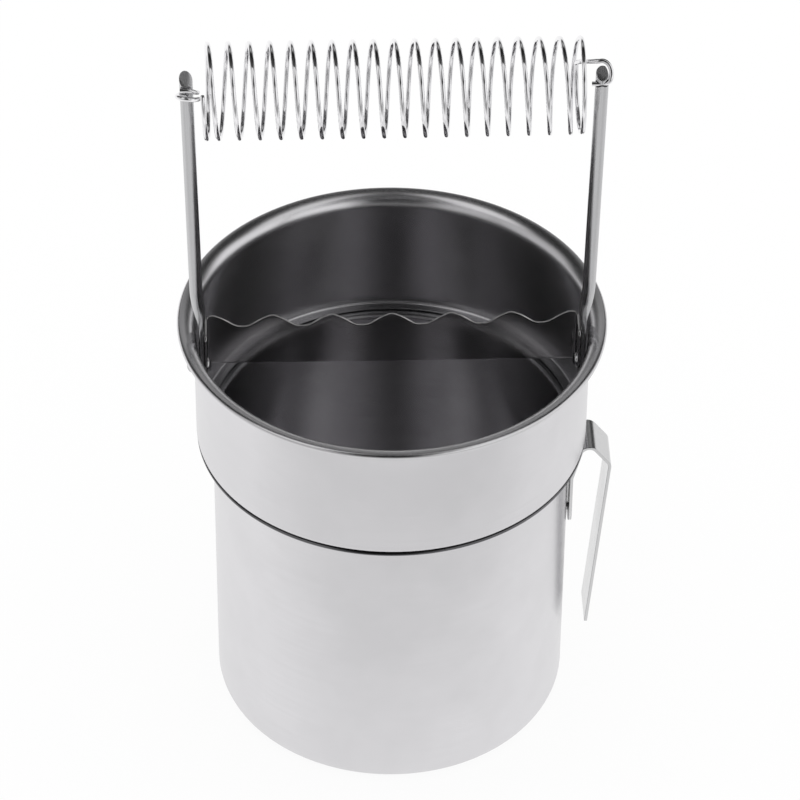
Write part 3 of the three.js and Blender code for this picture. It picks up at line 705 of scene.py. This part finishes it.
def rivet(name, shank, head, inner_face, inner_rise, outer_face, outer_rise, y, z, side):
    """A shank with a domed head at each end, turned about X: (head cos a, face + rise sin a)."""
    angle = np.linspace(0, math.pi / 2, 15)
    across, rise = head * np.cos(angle), np.sin(angle)
    across[-1] = 0
    inner = np.stack([across, inner_face - inner_rise * rise], axis=1)[::-1]
    outer = np.stack([across, outer_face + outer_rise * rise], axis=1)
    profile = np.concatenate([inner, [(shank, inner_face), (shank, outer_face)], outer])
    profile = straight_supports(profile, gap=0.0001, spacing=0.0008)
    made = turned(name, profile, 48, axis="X", closed=False)
    place = np.empty(len(made.data.vertices) * 3, np.float32)
    made.data.vertices.foreach_get("co", place)
    place = place.reshape(-1, 3) * [side, side, 1] + [0, y, z]
    made.data.vertices.foreach_set("co", place.astype(np.float32).ravel())
    made.data.update()
    return made


class WASHER_OT_rivets(bpy.types.Operator):
    """Build the three rivets"""
    bl_idname = "washer.rivets"
    bl_label = "Rivets"

    def execute(self, context):
        scene = context.scene
        post, clip, strip = scene.washer_post, scene.washer_clip, scene.washer_strip
        bright = steel("rivet_steel", scene.washer_colours.rivet, 0.2,
                       lines=(900.0, 900.0), depth=0.00001, spread=0.07, smudge=0.06)
        for side, name in ((-1, "post_rivet_left"), (1, "post_rivet_right")):
            made = rivet(
                name + "_pin", post.rivet_shank, post.rivet_head, strip.tab_outer - strip.thickness,
                post.rivet_rise, post.rivet_outer_plane, post.rivet_outer_rise, -post.y,
                post.rivet_height, side)
            finish_piece(made, [bright], name)
        cup_inside = scene.washer_vessel.cup_radius - scene.washer_vessel.sheet
        sunk = 0.0003
        inner = math.sqrt(cup_inside ** 2 - clip.rivet_head ** 2) - sunk
        made = rivet(
            "clip_rivet_pin", clip.rivet_shank, clip.rivet_head, inner, clip.rivet_rise,
            clip.face + clip.thickness, clip.rivet_rise, 0, clip.rivet_height, 1)
        finish_piece(made, [bright], "clip_rivet")
        return {"FINISHED"}


# The spring's wire.

def hook_points(hook, bearing):
    """A hook round a post by its bearing in turns: the front is 0.25 and 1.25, the right 1. It is a
    circle that leans and climbs, and draws in to the notch over its last quarter."""
    scene = bpy.context.scene
    post, angle = scene.washer_post, TURN * bearing
    seat = post.radius + scene.washer_spring.wire_radius - hook.bite
    reach = hook.radius + (seat - hook.radius) * smooth((bearing - 1) / 0.25)
    return np.stack([
        hook.x + hook.radius * np.cos(angle), -post.y - reach * np.sin(angle),
        hook.notch + hook.lean * (np.sin(angle) - 1) + hook.climb * (bearing - 1.25)], axis=1)


def hook_line(hook, steps):
    """A hook from the coil's side round to its cut end, past the notch."""
    ring = hook_points(hook, np.linspace(hook.first, 1.25, steps + 1))
    return np.concatenate([ring, ring[-1] - np.linspace(0, 1, 8)[1:, None] * [hook.tail, 0, 0]])


def coil_points(size, turn):
    """The coil by its turn: x = pitch * turn held at the closed ends, and (-r sin a, r cos a) about
    an axis that rises to the right. The last stretch draws in and the first leans out."""
    angle = TURN * (turn - TOP_OF_TURN)
    at_right = np.clip((turn - size.stretch) / (size.last_turn - size.stretch), 0, 1)
    at_left = np.clip((turn + size.stretch) / (size.first_turn + size.stretch), 0, 1)
    radius = size.coil_radius - size.spiral * at_right
    straight = np.clip(turn / size.closed_turn, -1, 1) * size.coil_half
    x = straight - size.left_splay * at_left - size.right_lean * at_right
    z = size.coil_height + size.coil_rise * x / size.coil_half + radius * np.cos(angle)
    return np.stack([x, -bpy.context.scene.washer_post.y - radius * np.sin(angle), z], axis=1)


def link_points(start, start_reach, end, end_reach, count):
    """A cubic curve between two stretches of wire that leaves each in its own direction."""
    span = np.linalg.norm(end - start)
    a, b = start + start_reach * span, end - end_reach * span
    t = np.linspace(0, 1, count + 1)[1:-1, None]
    return (1 - t) ** 3 * start + 3 * (1 - t) ** 2 * t * a + 3 * (1 - t) * t * t * b + t ** 3 * end


def wire_route(size, left, right):
    """The middle of the whole wire, from the left cut end to the right one."""
    stations = int(size.turn_steps * 2 * size.last_turn) + 1
    coil = coil_points(size, np.linspace(size.first_turn, size.last_turn, stations))
    into_coil, out_of_coil = unit(coil[1] - coil[0]), unit(coil[-1] - coil[-2])
    from_left, into_right = (
        np.diff(hook_points(hook, hook.first + hook.step * np.arange(2)), axis=0)[0]
        for hook in (left, right))
    left_line, right_line = hook_line(left, 64)[::-1], hook_line(right, 44)
    first = link_points(
        left_line[-1], unit(-from_left) * left.grip, coil[0], into_coil * left.coil_grip, 24)
    last = link_points(
        coil[-1], out_of_coil * right.coil_grip, right_line[0], unit(into_right) * right.grip, 40)
    return np.concatenate([left_line, first, coil, last, right_line])


def wire_tube(name, route, radius, sides):
    """A round tube on a route. Each ring is square to the route and is carried from the last one by
    the shortest turn: with c = h0 x h1, a vector f becomes f + c x f + c x (c x f) / (1 + h0.h1).
    The twist of any first guess against that is summed up along the route and taken out."""
    heading = unit(np.gradient(route, axis=0))
    guess = np.eye(3)[np.abs(heading).argmin(axis=1)]
    first = unit(guess - (guess * heading).sum(axis=1, keepdims=True) * heading)
    second = np.cross(heading, first)
    turn = np.cross(heading[:-1], heading[1:])
    near = 1 + (heading[:-1] * heading[1:]).sum(axis=1, keepdims=True)
    swung = np.cross(turn, first[:-1])
    carried = first[:-1] + swung + np.cross(turn, swung) / near
    twist = np.arctan2((carried * second[1:]).sum(axis=1), (carried * first[1:]).sum(axis=1))
    angle = np.concatenate([[0], np.cumsum(twist)])[:, None]
    level = np.cos(angle) * first + np.sin(angle) * second
    full = np.full(len(route), radius)
    return swept(name, route, level, np.cross(heading, level), oval_section(full, full, sides))


class WASHER_OT_spring(bpy.types.Operator):
    """Build the coil spring with its hooks"""
    bl_idname = "washer.spring"
    bl_label = "Spring"

    def execute(self, context):
        size = context.scene.washer_spring
        route = wire_route(size, context.scene.washer_left_hook, context.scene.washer_right_hook)
        spring = wire_tube("spring_wire_body", route, size.wire_radius, size.wire_sides)
        wire = steel("spring_wire_steel", context.scene.washer_colours.wire, 0.06,
                     lines=(40.0, 9000.0), depth=0.000001, spread=0.02, smudge=0.015)
        finish_piece(spring, [wire], "brush_spring", body="spring")
        return {"FINISHED"}


class WASHER_OT_clip(bpy.types.Operator):
    """Build the sprung clip"""
    bl_idname = "washer.clip"
    bl_label = "Clip"

    def execute(self, context):
        size = context.scene.washer_clip
        half = size.thickness / 2
        tongue = size.face + half
        corners = [
            (tongue, size.tongue_bottom), (tongue, size.tongue_top),
            (size.crest_x, size.crest_height), (size.knee_x, size.knee_height),
            (size.end_x, size.end_height)]
        line = bent_line(corners, [size.tongue_bend, size.crest_bend, size.knee_bend], 0, 16)
        line = straight_supports(line, gap=0.0002, spacing=0.0012)
        rise = size.width / 2 * (1 - np.cos(np.linspace(0, math.pi / 2, 16)))
        run = along(line)
        fine = np.unique(np.concatenate([rise, run[run > rise[-1] + 1e-5], run[-1:]]))
        line = np.stack([np.interp(fine, run, part) for part in line.T], axis=1)
        step = unit(np.gradient(line, axis=0))
        centre = np.stack([line[:, 0], np.zeros(len(line)), line[:, 1]], axis=1)
        normal = np.stack([-step[:, 1], np.zeros(len(line)), step[:, 0]], axis=1)
        short = np.clip(1 - fine / (size.width / 2), 0, 1)
        narrowest = 0.0003
        wide = np.maximum(size.width / 2 * np.sqrt(1 - short ** 2), narrowest)
        sideways = np.tile([0.0, 1.0, 0.0], (len(line), 1))
        section = box_section(np.full(len(line), half), wide, edge=0.00014, rows=10)
        clip = swept("clip_strip", centre, normal, sideways, section)
        drill = size.rivet_shank + CLEARANCE
        cut_away(clip, bar_along_x(drill, size.face + 0.0005, 0.0015, 0, size.rivet_height))
        satin = steel("clip_steel", context.scene.washer_colours.clip, 0.2,
                      lines=(60.0, 2500.0), depth=0.000005, spread=0.06)
        finish_piece(clip, [satin], "clip_hook")
        return {"FINISHED"}


# Floor, light and camera.

# The room's level by the height of the direction, from the horizon to overhead.
ROOM = (
    (0.0, 0.95), (0.12, 0.8), (0.2, 0.3), (0.3, 0.07), (0.58, 0.05), (0.68, 0.01), (0.85, 0.015),
    (0.95, 0.07), (1.0, 0.07))
# Bright panels of the room: bearing from the camera's side, half width, height, half height and
# level, and how far their sides and their upper and lower edges fade.
PANELS = (
    (1.15, 0.85, 0.32, 0.33, 0.95), (-1.2, 0.8, 0.31, 0.31, 0.55),
    (1.2, 0.45, 0.85, 0.2, 0.85), (-1.2, 0.45, 0.85, 0.2, 1.0),
    (math.pi, 0.45, 0.54, 0.12, 0.36))
SIDE_FADE, EDGE_FADE = 0.15, 0.05
# The floor's level in reflections, from FLOOR_NEAR on the camera's side to the middle.
FLOOR_NEAR = -0.6
FLOOR = ((0, 0.3), (0.4, 0.6), (0.6, 1.0), (0.69, 1.0), (0.75, 0.72), (0.85, 0.86), (0.95, 1.0))
FLOOR_HALF = 3.0
# How much of the floor glows instead of taking light and shadow.
GLOW = 0.9
# The camera: place and aim in metres, turn about its axis, focal length in mm, sideways shift.
CAMERA_PLACE, CAMERA_AIM = (-0.025, -0.7154, 0.6804), (0, 0, 0.0802)
CAMERA_ROLL, CAMERA_LENS, CAMERA_SHIFT = 0.0078, 189.3, 0.0107


def shown(shader, *kinds):
    """1 for the kinds of rays named, 0 for all others."""
    path = shader.add("ShaderNodeLightPath")
    total = path.outputs[kinds[0]]
    for kind in kinds[1:]:
        total = shader.math("MAXIMUM", total, path.outputs[kind])
    return total


class WASHER_OT_stage(bpy.types.Operator):
    """Build the floor, the surroundings and the camera"""
    bl_idname = "washer.stage"
    bl_label = "Stage"

    def execute(self, context):
        self.build_floor(context)
        self.build_world(context)
        self.build_camera(context)
        context.scene.view_settings.view_transform = "Standard"
        return {"FINISHED"}

    def build_floor(self, context):
        """A wide white floor with a faint shadow. In reflections it dims towards the camera."""
        mesh = bpy.data.meshes.new("floor")
        low, high = -FLOOR_HALF, FLOOR_HALF
        corners = [(low, low, 0), (high, low, 0), (high, high, 0), (low, high, 0)]
        mesh.from_pydata(corners, [], [(0, 1, 2, 3)])
        floor = bpy.data.objects.new("floor", mesh)
        context.scene.collection.objects.link(floor)
        shader = Shader("white_floor")
        place = shader.split(shader.add("ShaderNodeTexCoord").outputs["Object"])
        dimmed = shader.ramp(place["Y"], FLOOR_NEAR, 0.0, FLOOR)
        dimmed = shader.mix(1.0, dimmed, shader.ranged(place["X"], 0.02, 0.2, 1.0, 0.9), "MULTIPLY")
        level = shader.mix(shown(shader, "Is Camera Ray"), dimmed, (1.01, 1.01, 1.01, 1))
        paint = shader.add("ShaderNodeBsdfDiffuse", {"Color": (0.95, 0.95, 0.95, 1)})
        glow = shader.add("ShaderNodeEmission", {"Color": level})
        seen = shown(shader, "Is Camera Ray", "Is Glossy Ray", "Is Transmission Ray")
        inputs = {0: shader.math("MULTIPLY", seen, GLOW), 1: paint.outputs[0], 2: glow.outputs[0]}
        mesh.materials.append(shader.finish(shader.add("ShaderNodeMixShader", inputs)))

    def build_world(self, context):
        """White for the camera. The room that the steel shows is white at the horizon and dark
        overhead, with bright panels to both sides and a dim one at the back."""
        world = bpy.data.worlds.new("studio")
        context.scene.world = world
        shader = Shader("studio", world)
        toward = shader.split(shader.add("ShaderNodeTexCoord").outputs["Generated"])
        room = shader.ramp(toward["Z"], 0.0, 1.0, ROOM)
        room = shader.mix(1.0, room, shader.ranged(toward["Y"], -0.7, -0.1, 0.5, 1.0), "MULTIPLY")
        bearing = shader.math("ARCTAN2", toward["X"], shader.math("MULTIPLY", toward["Y"], -1.0))
        for middle, half_width, height, half_height, strength in PANELS:
            turn = shader.math("WRAP", shader.math("SUBTRACT", bearing, middle), math.pi, -math.pi)
            aside = shader.math("ABSOLUTE", turn)
            above = shader.math("ABSOLUTE", shader.math("SUBTRACT", toward["Z"], height))
            within = shader.math(
                "MULTIPLY",
                shader.ranged(aside, half_width - SIDE_FADE, half_width + SIDE_FADE, strength, 0.0),
                shader.ranged(above, half_height - EDGE_FADE, half_height + EDGE_FADE, 1.0, 0.0))
            room = shader.mix(1.0, room, within, "LIGHTEN")
        level = shader.mix(shown(shader, "Is Camera Ray", "Is Diffuse Ray"), room, (1, 1, 1, 1))
        shader.finish(shader.add("ShaderNodeBackground", {"Color": level}))

    def build_camera(self, context):
        """The photograph's viewing angle."""
        data = bpy.data.cameras.new("camera")
        data.sensor_width, data.lens, data.shift_x = 36, CAMERA_LENS, CAMERA_SHIFT
        data.clip_start, data.clip_end = 0.05, 20
        camera = bpy.data.objects.new("camera", data)
        place = np.array(CAMERA_PLACE)
        ahead = unit(np.array(CAMERA_AIM) - place)
        right = unit(np.cross(ahead, [0, 0, 1]))
        above = np.cross(right, ahead)
        cos, sin = math.cos(CAMERA_ROLL), math.sin(CAMERA_ROLL)
        right, above = right * cos + above * sin, above * cos - right * sin
        axes = np.column_stack([right, above, -ahead, place])
        camera.matrix_world = Matrix([*axes.tolist(), [0, 0, 0, 1]])
        context.scene.collection.objects.link(camera)
        context.scene.camera = camera


# Panel and registration.

OPERATORS = (
    WASHER_OT_vessels, WASHER_OT_strip, WASHER_OT_posts, WASHER_OT_rivets, WASHER_OT_spring,
    WASHER_OT_clip, WASHER_OT_stage)
GROUPS = {
    "washer_vessel": VesselSizes, "washer_strip": StripSizes, "washer_post": PostSizes,
    "washer_spring": SpringSizes, "washer_left_hook": LeftHookSizes,
    "washer_right_hook": RightHookSizes, "washer_clip": ClipSizes, "washer_colours": WasherColours}


class WASHER_PT_panel(bpy.types.Panel):
    """Sizes, colours and builders of the brush washer"""
    bl_label = "Brush Washer"
    bl_idname = "WASHER_PT_panel"
    bl_space_type = "VIEW_3D"
    bl_region_type = "UI"
    bl_category = "Washer"

    def draw(self, context):
        for name, group in GROUPS.items():
            box = self.layout.box()
            box.label(text=group.__doc__)
            for key in group.__annotations__:
                box.prop(getattr(context.scene, name), key)
        for operator in OPERATORS:
            self.layout.operator(operator.bl_idname)


def register():
    """Registers the groups, the operators and the panel."""
    for name, group in GROUPS.items():
        bpy.utils.register_class(group)
        setattr(bpy.types.Scene, name, PointerProperty(type=group))
    for item in (*OPERATORS, WASHER_PT_panel):
        bpy.utils.register_class(item)


def unregister():
    """Takes them away again."""
    for item in (WASHER_PT_panel, *reversed(OPERATORS)):
        bpy.utils.unregister_class(item)
    for name, group in GROUPS.items():
        delattr(bpy.types.Scene, name)
        bpy.utils.unregister_class(group)


def main():
    """Builds the whole washer and its stage, and writes both boxes."""
    register()
    for operator in OPERATORS:
        getattr(bpy.ops.washer, operator.bl_idname.split(".")[1])()


if __name__ == "__main__":
    main()
